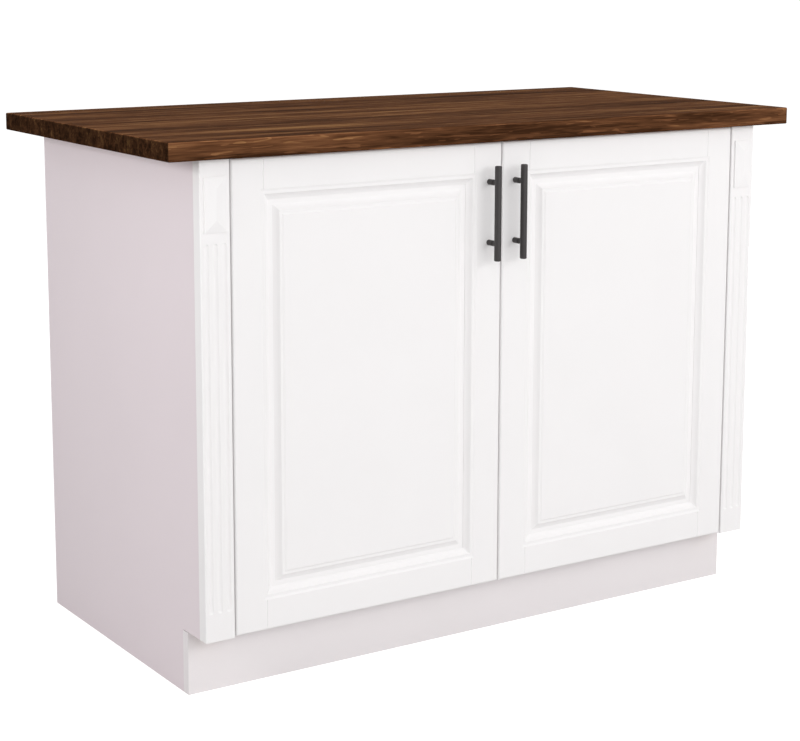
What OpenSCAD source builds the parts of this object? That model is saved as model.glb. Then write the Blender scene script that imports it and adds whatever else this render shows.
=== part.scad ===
// Kitchen base cabinet with two raised-panel doors, fluted pilasters and a solid wood worktop.
// X runs to the right, Y to the back and Z up. The floor is Z = 0, and the box round the whole
// unit, with its handles and worktop, is centred on X and Y.

/* [Overall] */
// Width over the two end panels
body_w = 1065; // [900:5:1300]
// Depth of the carcass behind the pilasters
carcass_d = 540; // [460:5:640]
// Height of the carcass above the toe space
carcass_h = 720; // [640:5:800]
// Height of the toe space
toe_h = 100; // [80:5:150]

/* [Worktop] */
// Thickness of the worktop
top_t = 28; // [20:1:40]
// Overhang past each end panel
top_side_overhang = 57.5; // [10:0.5:100]
// Overhang past the pilaster faces
top_front_overhang = 20; // [5:1:50]
// Overhang past the back
top_back_overhang = 20; // [0:1:60]
// Rounding of the worktop's long edges
top_edge_r = 2; // [0.5:0.5:6]

/* [Carcass boards] */
// Thickness of every laminated board
panel_t = 16; // [15:1:19]
// Thickness of the hardboard back
back_t = 3; // [3:0.5:6]
// How far the back lies inside the end panels' rear edges
back_recess = 2; // [2:0.5:6]
// Width of the two rails under the worktop
rail_d = 100; // [70:5:140]
// How far a pilaster laps over the carcass side behind it
side_lap = 3; // [1:0.5:8]
// Depth of each upright batten between an end panel and a carcass side
batten_d = 44; // [25:1:60]

/* [Toe space] */
// Distance from the pilaster faces back to the toe kick
toe_recess = 60; // [40:1:90]
// Gap between the toe kick's top edge and the notch above it
toe_top_gap = 1.5; // [0.5:0.5:5]
// Length of each leg of a toe kick bracket
bracket_leg = 40; // [30:1:60]
// Height of a toe kick bracket
bracket_h = 30; // [20:1:50]
// Thickness of the bracket metal
bracket_t = 2; // [1:0.5:3]

/* [Shelf] */
// Height of the shelf's top face above the bottom panel
shelf_up = 345; // [200:5:480]
// Depth of the shelf
shelf_d = 480; // [300:5:500]
// Gap at each end of the shelf
shelf_gap = 1; // [0.5:0.5:3]
// Diameter of a shelf pin
shelf_pin_d = 5; // [4:0.5:7]
// Depth of a shelf pin in its board
shelf_pin_in = 8; // [6:0.5:10]
// Length of a shelf pin's pad under the shelf
shelf_pad = 8; // [6:0.5:14]
// Distance of the pins from the shelf's front and back edges
shelf_pin_inset = 60; // [30:5:120]
// Distance between the holes of a pin row
shelf_hole_pitch = 32; // [20:4:40]
// Number of spare holes above and below each pin
shelf_spare_holes = 2; // [0:1:3]

/* [Pilasters] */
// Width of a pilaster
pilaster_w = 49; // [40:1:70]
// Rounding of a pilaster's front edges
pilaster_edge_r = 2; // [0.5:0.5:4]
// Number of flutes
flute_count = 3; // [1:1:4]
// Distance between flute centres
flute_pitch = 14.5; // [12:0.5:18]
// Width of a flute at the face
flute_w = 8; // [5:0.5:11]
// Depth of a flute
flute_d = 1.5; // [1:0.1:3]
// Length of a flute
flute_l = 555; // [300:5:560]
// Height of a flute's lower end above the pilaster's foot
flute_up = 42; // [30:1:60]
// Width of the block near a pilaster's head
block_w = 36; // [24:1:38]
// Height of the block
block_h = 81; // [60:1:90]
// Distance from the block's top down from the worktop
block_drop = 26; // [6:1:30]
// Thickness of the block at its edge
block_edge_t = 2.5; // [1:0.5:5]
// Rise of the block's slopes to the ridge
block_rise = 3; // [2:0.5:8]

/* [Doors] */
// Thickness of a door frame
door_t = 18; // [17:0.5:22]
// Gap between the two doors
meeting_gap = 2; // [2:0.5:5]
// Gap between the doors and the worktop
door_top_gap = 2; // [2:0.5:8]
// Height of the doors' lower edge above the pilaster's foot
door_low_gap = 1.5; // [0:0.5:5]
// Width of a stile's plain face
stile_flat = 47; // [42:1:70]
// Width of a rail's plain face
rail_flat = 47; // [40:1:70]
// Rounding of a door's front edges
door_edge_r = 3.5; // [2:0.5:4]
// Rounding of a door's back edges
door_back_r = 1.5; // [1:0.25:2.5]

/* [Door moulding] */
// Width of the moulding along the frame's inner edge
stick_w = 17; // [13:0.5:20]
// Width of the slope beside the plain face
ease_w = 3.4; // [2:0.2:4.4]
// Depth of the slope's foot
bead_step = 1.2; // [0.6:0.1:2]
// Width of the flat bead at the slope's foot
bead_w = 4.3; // [3:0.1:6]
// Radius of the cove inside the bead
cove_r = 18; // [12:1:40]
// Thickness of the frame's lip over the panel groove
lip_t = 0.9; // [0.6:0.1:2]
// Depth of the panel groove in the frame
groove_d = 10; // [7:0.5:12]
// Width of the panel groove
groove_w = 5; // [4:0.25:5.5]
// Distance from the face to the panel groove
groove_in = 8.5; // [8:0.25:9.5]
// Distance of the frame joints from the stiles' plain face
joint_off = 5.5; // [0:0.5:7.5]
// Half width of the fine V along each frame joint
joint_v = 1.2; // [0.3:0.1:2]
// Depth of the fine V
joint_v_d = 0.9; // [0.2:0.1:1.5]
// Glue gap in the frame joints
joint_gap = 0.05; // [0.05:0.05:0.2]
// Length of the tenons on the rails
tenon_l = 20; // [10:1:24]
// Distance from a door's end to the tenons
tenon_up = 12; // [6:1:20]

/* [Door panel] */
// Gap between the panel's edge and the bottom of its groove
panel_play = 1.5; // [1:0.25:3]
// Gap between the panel's tongue and each side of its groove
tongue_gap = 0.1; // [0.05:0.05:0.2]
// Width of the panel's flat margin beside the frame
margin_w = 7.6; // [3:0.1:12]
// Width of the hollow bevel inside the margin
bevel_w = 9.2; // [6:0.1:16]
// Radius of the bevel's hollow
bevel_r = 29; // [16:1:80]
// Depth from the door's face to the bevel's inner edge
bevel_top = 2.6; // [1.8:0.1:4]
// Width of the flat fillet inside the bevel
fillet_w = 3.8; // [2:0.2:6]
// Width of the slope between the fillet and the field
field_step = 3; // [2:0.2:5]
// Depth from the door's face to the field
field_in = 1.2; // [0:0.1:1.6]

/* [Hinges] */
// Distance from a door's end to the centre of a hinge
hinge_inset = 100; // [70:5:160]
// Diameter of the cup bore
cup_d = 35; // [34:0.5:36]
// Depth of the cup bore
cup_depth = 13.5; // [11.5:0.25:13.5]
// Distance from the door's edge to the cup bore
cup_edge = 4; // [2.5:0.25:5]
// Wall thickness of the cup
cup_wall = 0.8; // [0.6:0.1:1]
// Play between the cup and its bore
cup_play = 0.1; // [0.05:0.05:0.2]
// Thickness of the cup's flange
flange_t = 1; // [0.8:0.1:1]
// Distance between the cup's two screws
ear_span = 45; // [42:1:52]
// Distance from the cup's centre to its screw line
ear_off = 9.5; // [6:0.5:11]
// Radius of the hinge pin
pin_r = 1.1; // [0.8:0.1:1.2]
// Wall round the hinge pin
eye_wall = 1; // [0.8:0.1:1.2]
// Running clearance round the hinge pin
run_clear = 0.05; // [0.03:0.01:0.1]
// Clearance between the moving hinge parts
hinge_clear = 0.35; // [0.35:0.05:0.5]
// Clearance between a swinging door's edge and the pilaster
swing_clear = 0.35; // [0.35:0.05:1]
// Clearance between a swinging door's back edge and the carcass
back_clear = 0.35; // [0.35:0.05:1]
// Thickness of the hinge arm's sheet
arm_t = 1.8; // [1.4:0.1:1.8]
// Width of the arm's neck in the cup
neck_w = 8; // [6:0.5:8]
// Thickness of the two cheeks that hold the pin in the cup
cheek_t = 1.2; // [0.8:0.1:1.5]
// Width of the arm on its plate
arm_w = 15; // [13:0.5:18]
// Length of the arm behind the door
arm_l = 58; // [50:1:70]
// Thickness of the mounting plate's wings
plate_t = 2.5; // [2:0.25:3]
// Distance from the carcass front to the mounting plate's screws
plate_line = 37; // [37:1:40]
// Distance between the mounting plate's screws
plate_span = 32; // [28:1:40]

/* [Handles] */
// Length of a handle bar
bar_l = 150; // [130:2:200]
// Diameter of a handle bar
bar_d = 11; // [9:0.5:14]
// Rounding of a handle bar's ends
bar_end_r = 1.8; // [0.5:0.1:2]
// Distance between a handle's posts
post_span = 96; // [64:1:100]
// Diameter of a handle post at its foot
post_d = 9; // [7:0.5:10]
// Diameter of a handle post's neck at the bar
post_neck_d = 7.6; // [6:0.1:9]
// Length of a handle post's foot
post_foot_l = 13; // [6:1:18]
// Distance from the door to the bar's axis
bar_off = 24; // [22:1:40]
// Distance from a door's meeting edge to its handle
handle_inset = 24; // [15:0.5:34]
// Distance from a door's top to the middle of its handle
handle_drop = 110; // [104:1:200]
// Diameter of a handle screw
handle_screw_d = 4; // [3.5:0.5:5]

/* [Fixings] */
// Clearance round each fixing in its hole
fix_clear = 0.05; // [0.02:0.01:0.1]
// Diameter of a carcass screw
carcass_screw_d = 6.4; // [5:0.2:7]
// Length of a carcass screw
carcass_screw_l = 50; // [40:1:60]
// Diameter of an end panel screw
end_screw_d = 4.5; // [3.5:0.5:5]
// Diameter of a pilaster dowel
dowel_d = 8; // [6:0.5:8]
// Depth of a dowel in each of its two boards
dowel_in = 12; // [8:1:14]

/* [Hidden] */
$fn = 64;

// Colours
laminate = [0.93, 0.92, 0.92];
lacquer = [0.97, 0.97, 0.97];
walnut = [0.33, 0.19, 0.11];
charcoal = [0.27, 0.26, 0.26];
steel = [0.72, 0.72, 0.74];
pine = [0.85, 0.72, 0.52];
hardboard = [0.88, 0.87, 0.85];
silicone = [0.86, 0.88, 0.9];

// Small cut-through allowance, which leaves no skin on a cut
cut = 1;
// Facets of the large circles in the mouldings
fine = 240;

// Cup and pivot, measured from the door's hinge edge (u) and from its face (v)
cup_u = cup_edge + cup_d / 2;
cup_out_r = cup_d / 2 - cup_play;
cup_in_r = cup_out_r - cup_wall;
cup_floor_v = door_t - cup_depth + cup_play + cup_wall;
eye_r = pin_r + eye_wall;
pin_proud = 0.2;
pivot_u = cup_u - sqrt(pow(cup_in_r, 2) - pow(neck_w / 2, 2)) + hinge_clear + eye_r;
pivot_v = cup_floor_v + hinge_clear + eye_r;
flange_r = cup_d / 2 + 2;
flange_u = cup_edge + 0.5;
ear_u = cup_u + ear_off;
ear_r = 5;

// Widest swing of the door's corners about the pivot
front_swing = norm([pivot_u - door_edge_r, pivot_v - door_edge_r]) + door_edge_r - pivot_u;
back_swing = max(
    norm([pivot_u - door_back_r, door_t - door_back_r - pivot_v]) + door_back_r,
    norm([pivot_u - flange_u, door_t + flange_t - pivot_v]));
riser_u = pivot_u + back_swing + hinge_clear;
neck_v = pivot_v - eye_r;
cheek_z = neck_w / 2 + hinge_clear;
pin_l = 2 * (cheek_z + cheek_t + pin_proud);
door_gap = pivot_v + back_swing + back_clear - door_t;
// The pilasters stand as far forward as the doors
pilaster_t = door_t + door_gap;

// Main places across the width
top_z = toe_h + carcass_h;
body_x = body_w / 2;
end_in = body_x - panel_t;
pilaster_x = body_x - pilaster_w;
door_x = pilaster_x - front_swing - swing_clear;
side_out = pilaster_x + side_lap;
side_in = side_out - panel_t;
door_w = door_x - meeting_gap / 2;
door_h = carcass_h - door_top_gap - door_low_gap;
door_z = toe_h + door_low_gap;
side_u = door_x - side_in;

// Main places along the depth, from the carcass front
door_face = -pilaster_t;
back_front = carcass_d - back_recess - back_t;
toe_face = toe_recess - pilaster_t;
toe_back = toe_face + panel_t;
front_reach = max(bar_off + bar_d / 2 - door_face, pilaster_t + top_front_overhang);
back_reach = carcass_d + top_back_overhang;
shift_y = (front_reach - back_reach) / 2;

// Shelf
shelf_z = toe_h + panel_t + shelf_up;
shelf_back = back_front - shelf_gap;
shelf_front = shelf_back - shelf_d;
pad_h = 6;
pad_w = 10;

// Screws: their sizes and their places along the boards
rail_screw_inset = 28;
rail_screw_y = [rail_screw_inset, rail_d - rail_screw_inset];
bottom_screw_y = [toe_back + rail_screw_inset, back_front / 2, back_front - rail_screw_inset];
end_screw_from_plate = 40;
end_screw_inset = hinge_inset + plate_span / 2 + end_screw_from_plate;
end_screw_z = [door_z + end_screw_inset, door_z + door_h - end_screw_inset];
end_screw_l = end_in - side_in + panel_t / 2;
batten_y = [0, back_front - batten_d];
dowel_inset = 72;
dowel_z = [toe_h + dowel_inset, toe_h + carcass_h / 2, top_z - dowel_inset];
carcass_head_r = carcass_screw_d / 2 + 1.4;
carcass_head_l = 3;
small_d = 4;
small_head_r = 4;
small_head_l = 2.2;
top_screw_from_side = 120;
top_screw_x = side_in - top_screw_from_side;
top_screw_bite = 16;
top_screw_l = panel_t + top_screw_bite;
back_screw_d = 3;
back_screw_l = 14;
back_head_r = 3;
back_head_l = 1.6;
back_screw_inset = 22;
back_screw_pitch = (carcass_h - 2 * back_screw_inset) / 3;
plate_screw_d = 5;
plate_screw_l = plate_t + 11;
arm_screw_l = arm_t + 6;
arm_head_r = 3.4;
cup_screw_d = 3.5;
cup_screw_l = flange_t + 11;
cup_head_r = 3.2;
cup_head_l = 0.7;
handle_screw_bite = 8;
handle_head_l = 1.2;
bracket_z = 35;
bracket_hole_from_end = 16;
bracket_hole = bracket_leg - bracket_hole_from_end;
kick_screw_l = bracket_t + 11;

// Screw head slots
slot_w = 1;
slot_d = 1;
slot_share = 0.55;

// Hinge plate and arm, along the depth behind the door
plate_start = 8;
wing_l = 12;
arm_start = 3;
channel_clear = 0.5;
arm_screw_y = [18, 46];

// Door bumpers
bumper_r = 4;
bumper_inset = 7;
bumper_from_edge = 20;
bumper_clear = 0.4;

// Handle post: the tip let into the bar and the bore for its screw
tip_d = post_neck_d - 3;
tip_l = 3;
post_bore_l = 9;

// Frame joints, and the panel of a door
joint_u = stile_flat + joint_off;
panel_in = groove_d - panel_play;
panel_x = stile_flat + stick_w - panel_in;
panel_z = rail_flat + stick_w - panel_in;
panel_w = door_w - 2 * panel_x;
panel_h = door_h - 2 * panel_z;
tongue_v = groove_in + tongue_gap;
panel_back = groove_in + groove_w - tongue_gap;

// Flutes and block
flute_r = (pow(flute_w / 2, 2) + pow(flute_d, 2)) / (2 * flute_d);
flute_first = pilaster_w / 2 - flute_pitch * (flute_count - 1) / 2;
block_run = block_w / 2;

// The whole unit is drawn from the carcass front and then moved to the middle of its box
module unit() {
    translate([0, shift_y, 0]) children();
}

// The left half, drawn once, and its mirror image
module left() {
    unit() children();
}
module right() {
    mirror([1, 0, 0]) unit() children();
}
module both() {
    left() children();
    right() children();
}

// A door is drawn from its hinge edge, its face and its lower edge
module on_door() {
    translate([-door_x, door_face, door_z]) children();
}
module each_hinge() {
    for (z = [hinge_inset, door_h - hinge_inset])
        translate([0, 0, z]) children();
}

// Turns what stands along Z so that it runs along X or Y
module along_x() {
    rotate([0, 90, 0]) children();
}
module along_y() {
    rotate([-90, 0, 0]) children();
}

// Rectangle with its four corners rounded
module round_rect(w, h, r) {
    translate([r, 0]) square([w - 2 * r, h]);
    translate([0, r]) square([w, h - 2 * r]);
    for (x = [r, w - r], y = [r, h - r])
        translate([x, y]) circle(r);
}

// Rectangle with its two front corners, at y = 0, rounded by one radius and the back by another
module front_back_rect(w, d, front_r, back_r) {
    translate([front_r, 0]) square([w - 2 * front_r, d / 2]);
    translate([back_r, d / 2]) square([w - 2 * back_r, d / 2]);
    translate([0, front_r]) square([w, d - front_r - back_r]);
    for (x = [front_r, w - front_r])
        translate([x, front_r]) circle(front_r);
    for (x = [back_r, w - back_r])
        translate([x, d - back_r]) circle(back_r);
}

// Screw along Z: its shank runs up from z = 0 and its head lies below
module pan_screw(d, l, head_r, head_l) {
    cylinder(d = d, h = l);
    difference() {
        translate([0, 0, -head_l]) cylinder(r = head_r, h = head_l);
        for (a = [0, 90])
            rotate([0, 0, a]) translate([-head_r * slot_share, -slot_w / 2, -head_l - cut])
                cube([2 * head_r * slot_share, slot_w, min(slot_d, head_l / 2) + cut]);
    }
}
module hole(d, l) {
    translate([0, 0, -cut]) cylinder(d = d + 2 * fix_clear, h = l + 2 * cut);
}
module blind_hole(d, l) {
    translate([0, 0, -cut]) cylinder(d = d + 2 * fix_clear, h = l + cut + fix_clear);
}

// Places of the fixings that join several boards
module at_carcass_screws() {
    translate([-side_out, 0, 0]) {
        for (y = bottom_screw_y)
            translate([0, y, toe_h + panel_t / 2]) along_x() children();
        for (y = rail_screw_y) {
            translate([0, y, top_z - panel_t / 2]) along_x() children();
            translate([0, back_front - y, top_z - panel_t / 2]) along_x() children();
        }
    }
}
module at_end_screws() {
    for (y = batten_y, z = end_screw_z)
        translate([-side_in, y + batten_d / 2, z]) rotate([0, -90, 0]) children();
}
module at_dowels() {
    for (z = dowel_z)
        translate([-(side_out + end_in) / 2, -dowel_in, z]) along_y() children();
}
module at_shelf_pins() {
    for (y = [shelf_front + shelf_pin_inset, shelf_back - shelf_pin_inset])
        translate([-side_in, y, shelf_z - panel_t - shelf_pin_d / 2]) along_x() children();
}
module at_plate_screws() {
    on_door() each_hinge() for (z = [-plate_span / 2, plate_span / 2])
        translate([side_u + plate_t, -door_face + plate_line, z]) rotate([0, -90, 0]) children();
}
module at_top_screws() {
    for (x = [-top_screw_x, 0, top_screw_x], y = [rail_d / 2, back_front - rail_d / 2])
        translate([x, y, top_z - panel_t]) children();
}
module at_back_screws() {
    for (x = [-1, 1], i = [0:3])
        translate([x * (side_out - panel_t / 2), 0, toe_h + back_screw_inset + i * back_screw_pitch])
            children();
    for (x = [-side_in / 2, 0, side_in / 2], z = [toe_h + panel_t / 2, top_z - panel_t / 2])
        translate([x, 0, z]) children();
}
module at_cup_screws() {
    for (z = [-ear_span / 2, ear_span / 2])
        translate([ear_u, door_t + flange_t, z]) rotate([90, 0, 0]) children();
}
module at_posts() {
    for (z = [-post_span / 2, post_span / 2])
        translate([door_w - handle_inset, 0, door_h - handle_drop + z]) children();
}

// Carcass

module worktop() {
    w = body_w + 2 * top_side_overhang;
    d = pilaster_t + carcass_d + top_front_overhang + top_back_overhang;
    color(walnut) unit() difference() {
        translate([-w / 2, -pilaster_t - top_front_overhang, top_z]) intersection() {
            translate([0, d, 0]) rotate([90, 0, 0]) linear_extrude(d) round_rect(w, top_t, top_edge_r);
            translate([w, 0, 0]) rotate([0, -90, 0]) linear_extrude(w) round_rect(top_t, d, top_edge_r);
        }
        at_top_screws() blind_hole(small_d, top_screw_l);
    }
}

module worktop_screws() {
    color(steel) unit() at_top_screws() pan_screw(small_d, top_screw_l, small_head_r, small_head_l);
}

// Board that stands on the floor, cut out in front for the toe kick
module notched_board(d) {
    difference() {
        cube([panel_t, d, top_z]);
        translate([-cut, -cut, -cut]) cube([panel_t + 2 * cut, toe_back + cut, toe_h + cut]);
    }
}

module end_panel() {
    difference() {
        translate([-body_x, 0, 0]) notched_board(carcass_d);
        at_end_screws() blind_hole(end_screw_d, end_screw_l);
    }
}
module left_end_panel() {
    color(laminate) left() end_panel();
}
module right_end_panel() {
    color(laminate) right() end_panel();
}

module carcass_side() {
    difference() {
        translate([-side_out, 0, 0]) notched_board(back_front);
        at_carcass_screws() {
            hole(carcass_screw_d, panel_t);
            blind_hole(2 * carcass_head_r, carcass_head_l);
        }
        at_end_screws() hole(end_screw_d, panel_t);
        for (i = [-shelf_spare_holes:shelf_spare_holes])
            translate([0, 0, i * shelf_hole_pitch]) at_shelf_pins()
                mirror([0, 0, 1]) blind_hole(shelf_pin_d, shelf_pin_in);
        at_plate_screws() blind_hole(plate_screw_d, plate_screw_l);
        at_side_screws() blind_hole(small_d, kick_screw_l);
        at_back_fixings() blind_hole(back_screw_d, back_screw_l);
    }
}
module at_back_fixings() {
    translate([0, back_front + back_t, 0]) at_back_screws() rotate([90, 0, 0]) children();
}
module left_carcass_side() {
    color(laminate) left() carcass_side();
}
module right_carcass_side() {
    color(laminate) right() carcass_side();
}

module cross_board(d) {
    translate([-side_in, 0, 0]) cube([2 * side_in, d, panel_t]);
}

module bottom_panel() {
    color(laminate) unit() difference() {
        translate([0, 0, toe_h]) cross_board(back_front);
        carcass_screw_holes();
        at_back_fixings() blind_hole(back_screw_d, back_screw_l);
    }
}
module carcass_screw_holes() {
    at_carcass_screws() blind_hole(carcass_screw_d, carcass_screw_l);
    mirror([1, 0, 0]) at_carcass_screws() blind_hole(carcass_screw_d, carcass_screw_l);
}

module top_rail_board(y) {
    difference() {
        translate([0, y, top_z - panel_t]) cross_board(rail_d);
        carcass_screw_holes();
        at_top_screws() hole(small_d, panel_t);
        at_back_fixings() blind_hole(back_screw_d, back_screw_l);
    }
}
module front_top_rail() {
    color(laminate) unit() top_rail_board(0);
}
module rear_top_rail() {
    color(laminate) unit() top_rail_board(back_front - rail_d);
}

module back_panel() {
    color(hardboard) unit() difference() {
        translate([-end_in, back_front, toe_h]) cube([2 * end_in, back_t, carcass_h]);
        at_back_fixings() hole(back_screw_d, back_t);
    }
}
module back_panel_screws() {
    color(steel) unit() at_back_fixings() pan_screw(back_screw_d, back_screw_l, back_head_r, back_head_l);
}

module shelf() {
    color(laminate) unit() translate([-side_in + shelf_gap, shelf_front, shelf_z - panel_t])
        cube([2 * (side_in - shelf_gap), shelf_d, panel_t]);
}

// Pin in its board with a flat-topped pad that carries the shelf
module shelf_pin() {
    translate([0, 0, -shelf_pin_in]) cylinder(d = shelf_pin_d, h = shelf_pin_in + shelf_pad);
    translate([-shelf_pin_d / 2, -pad_w / 2, 0]) cube([pad_h, pad_w, shelf_pad]);
}
module shelf_pins() {
    color(steel) both() at_shelf_pins() shelf_pin();
}

module toe_kick() {
    color(laminate) unit() difference() {
        translate([-body_x, toe_face, 0]) cube([body_w, panel_t, toe_h - toe_top_gap]);
        at_kick_screws() blind_hole(small_d, kick_screw_l);
        mirror([1, 0, 0]) at_kick_screws() blind_hole(small_d, kick_screw_l);
    }
}
module at_kick_screws() {
    translate([-side_in + bracket_hole, toe_back + bracket_t, bracket_z + bracket_h / 2])
        rotate([90, 0, 0]) children();
}
module at_side_screws() {
    translate([-side_in + bracket_t, toe_back + bracket_hole, bracket_z + bracket_h / 2])
        rotate([0, -90, 0]) children();
}
module toe_kick_brackets() {
    color(steel) both() difference() {
        translate([-side_in, toe_back, bracket_z]) {
            cube([bracket_leg, bracket_t, bracket_h]);
            cube([bracket_t, bracket_leg, bracket_h]);
        }
        at_kick_screws() hole(small_d, bracket_t);
        at_side_screws() hole(small_d, bracket_t);
    }
}
module toe_kick_screws() {
    color(steel) both() {
        at_kick_screws() pan_screw(small_d, kick_screw_l, small_head_r, small_head_l);
        at_side_screws() pan_screw(small_d, kick_screw_l, small_head_r, small_head_l);
    }
}

module spacer_battens() {
    difference() {
        for (y = batten_y)
            translate([-end_in, y, toe_h]) cube([end_in - side_out, batten_d, carcass_h]);
        at_end_screws() hole(end_screw_d, end_in - side_in);
        at_dowels() hole(dowel_d, 2 * dowel_in);
    }
}
module left_spacer_battens() {
    color(pine) left() spacer_battens();
}
module right_spacer_battens() {
    color(pine) right() spacer_battens();
}

module pilaster() {
    difference() {
        translate([-body_x, -pilaster_t, toe_h]) linear_extrude(carcass_h)
            front_back_rect(pilaster_w, pilaster_t, pilaster_edge_r, 0.4);
        for (i = [0:flute_count - 1])
            translate([-body_x + flute_first + i * flute_pitch, -pilaster_t, toe_h + flute_up]) flute();
        at_dowels() blind_hole(dowel_d, 2 * dowel_in);
    }
}
module flute() {
    translate([0, flute_d - flute_r, flute_w / 2]) {
        cylinder(r = flute_r, h = flute_l - flute_w);
        sphere(r = flute_r);
        translate([0, 0, flute_l - flute_w]) sphere(r = flute_r);
    }
}
module left_pilaster() {
    color(lacquer) left() pilaster();
}
module right_pilaster() {
    color(lacquer) right() pilaster();
}

// Hipped block: two roof sections cross each other
module pilaster_block() {
    t = block_edge_t + block_rise;
    edge = (pilaster_w - block_w) / 2;
    translate([edge - body_x, -pilaster_t, top_z - block_drop - block_h]) intersection() {
        linear_extrude(block_h)
            polygon([[0, 0], [0, -block_edge_t], [block_run, -t], [block_w, -block_edge_t], [block_w, 0]]);
        translate([block_w, 0, 0]) rotate([0, -90, 0]) linear_extrude(block_w)
            polygon([[0, 0], [0, -block_edge_t], [block_run, -t], [block_h - block_run, -t],
                [block_h, -block_edge_t], [block_h, 0]]);
    }
}
module left_pilaster_block() {
    color(lacquer) left() pilaster_block();
}
module right_pilaster_block() {
    color(lacquer) right() pilaster_block();
}

module pilaster_dowels() {
    color(pine) both() at_dowels() cylinder(d = dowel_d, h = 2 * dowel_in);
}

module carcass_screws() {
    color(steel) both() at_carcass_screws() {
        cylinder(d = carcass_screw_d, h = carcass_screw_l);
        cylinder(r = carcass_head_r, h = carcass_head_l);
    }
}

module end_panel_screws() {
    color(steel) both() at_end_screws() pan_screw(end_screw_d, end_screw_l, small_head_r, small_head_l);
}

// Hinge, fixed half

module hinge_plates() {
    saddle_h = riser_u - side_u;
    saddle_w = arm_w - 2 * (arm_t + channel_clear);
    on_door() each_hinge() difference() {
        translate([side_u, -door_face, 0]) {
            translate([0, plate_start, -saddle_w / 2]) cube([saddle_h, arm_l - wing_l, saddle_w]);
            translate([0, plate_line - wing_l / 2, -plate_span / 2]) cube([plate_t, wing_l, plate_span]);
            for (z = [-plate_span / 2, plate_span / 2])
                translate([0, plate_line, z]) along_x() cylinder(r = wing_l / 2, h = plate_t);
        }
        hinge_plate_holes();
    }
}
module hinge_plate_holes() {
    for (z = [-plate_span / 2, plate_span / 2])
        translate([side_u + plate_t, -door_face + plate_line, z]) rotate([0, -90, 0])
            hole(plate_screw_d, plate_t);
    at_arm_screws() blind_hole(small_d, arm_screw_l);
}
// The two screws that hold and set an arm on its plate
module at_arm_screws() {
    for (y = arm_screw_y)
        translate([riser_u + arm_t, -door_face + y, 0]) rotate([0, -90, 0]) children();
}
module left_hinge_plates() {
    color(steel) left() hinge_plates();
}
module right_hinge_plates() {
    color(steel) right() hinge_plates();
}

// Arm: an eye round the pin, a neck out of the cup and a channel over the plate
module hinge_arms() {
    lip_u = side_u + plate_t + channel_clear;
    on_door() each_hinge() difference() {
        union() {
            translate([pivot_u, pivot_v, -neck_w / 2]) cylinder(r = eye_r, h = neck_w);
            translate([pivot_u, neck_v, -neck_w / 2]) cube([riser_u + arm_t - pivot_u, arm_t, neck_w]);
            translate([riser_u, neck_v, -neck_w / 2])
                cube([arm_t, -door_face + arm_start + cut - neck_v, neck_w]);
            translate([riser_u, -door_face + arm_start, -arm_w / 2]) cube([arm_t, arm_l, arm_w]);
            for (z = [-arm_w / 2, arm_w / 2 - arm_t])
                translate([lip_u, -door_face + arm_start + arm_t, z])
                    cube([riser_u - lip_u + cut, arm_l - arm_t, arm_t]);
        }
        translate([pivot_u, pivot_v, 0])
            cylinder(r = pin_r + run_clear, h = neck_w + 2 * cut, center = true);
        at_arm_screws() hole(small_d, arm_t);
        wing_slot();
    }
}
// Slots in the channel's lips that clear the plate's wings
module wing_slot() {
    w = wing_l + 2 * channel_clear;
    translate([side_u, -door_face + plate_line - w / 2, -arm_w])
        cube([plate_t + 2 * channel_clear, w, 2 * arm_w]);
}
module left_hinge_arms() {
    color(steel) left() hinge_arms();
}
module right_hinge_arms() {
    color(steel) right() hinge_arms();
}

module hinge_screws() {
    color(steel) both() {
        at_plate_screws() pan_screw(plate_screw_d, plate_screw_l, small_head_r, small_head_l);
        on_door() each_hinge() at_arm_screws() pan_screw(small_d, arm_screw_l, arm_head_r, small_head_l);
    }
}

// Doors, drawn as the left one

// Circle that cuts a hollow from p to q, with its centre on the open side of their chord
module hollow(p, q, r) {
    chord = q - p;
    half = norm(chord) / 2;
    open_side = [chord[1], -chord[0]] / norm(chord);
    translate((p + q) / 2 + open_side * sqrt(pow(r, 2) - pow(half, 2))) circle(r, $fn = fine);
}

// Section of a frame member, from its outer edge inwards (x) and from its face back (y)
module frame_section(flat) {
    inner = flat + stick_w;
    cove_u = flat + ease_w + bead_w;
    lip_v = groove_in - lip_t;
    difference() {
        square([inner, door_t]);
        polygon([[flat, -cut], [flat, 0], [flat + ease_w, bead_step],
            [inner + cut, bead_step], [inner + cut, -cut]]);
        intersection() {
            translate([cove_u, -cut]) square([stick_w, lip_v + cut]);
            hollow([cove_u, bead_step], [inner, lip_v], cove_r);
        }
        translate([inner - groove_d, groove_in]) square([groove_d + cut, groove_w]);
    }
}

// Outer shape of a door with its edges rounded
module door_blank() {
    intersection() {
        linear_extrude(door_h) front_back_rect(door_w, door_t, door_edge_r, door_back_r);
        translate([door_w, 0, 0]) rotate([0, -90, 0]) linear_extrude(door_w)
            front_back_rect(door_h, door_t, door_edge_r, door_back_r);
    }
}

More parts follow.
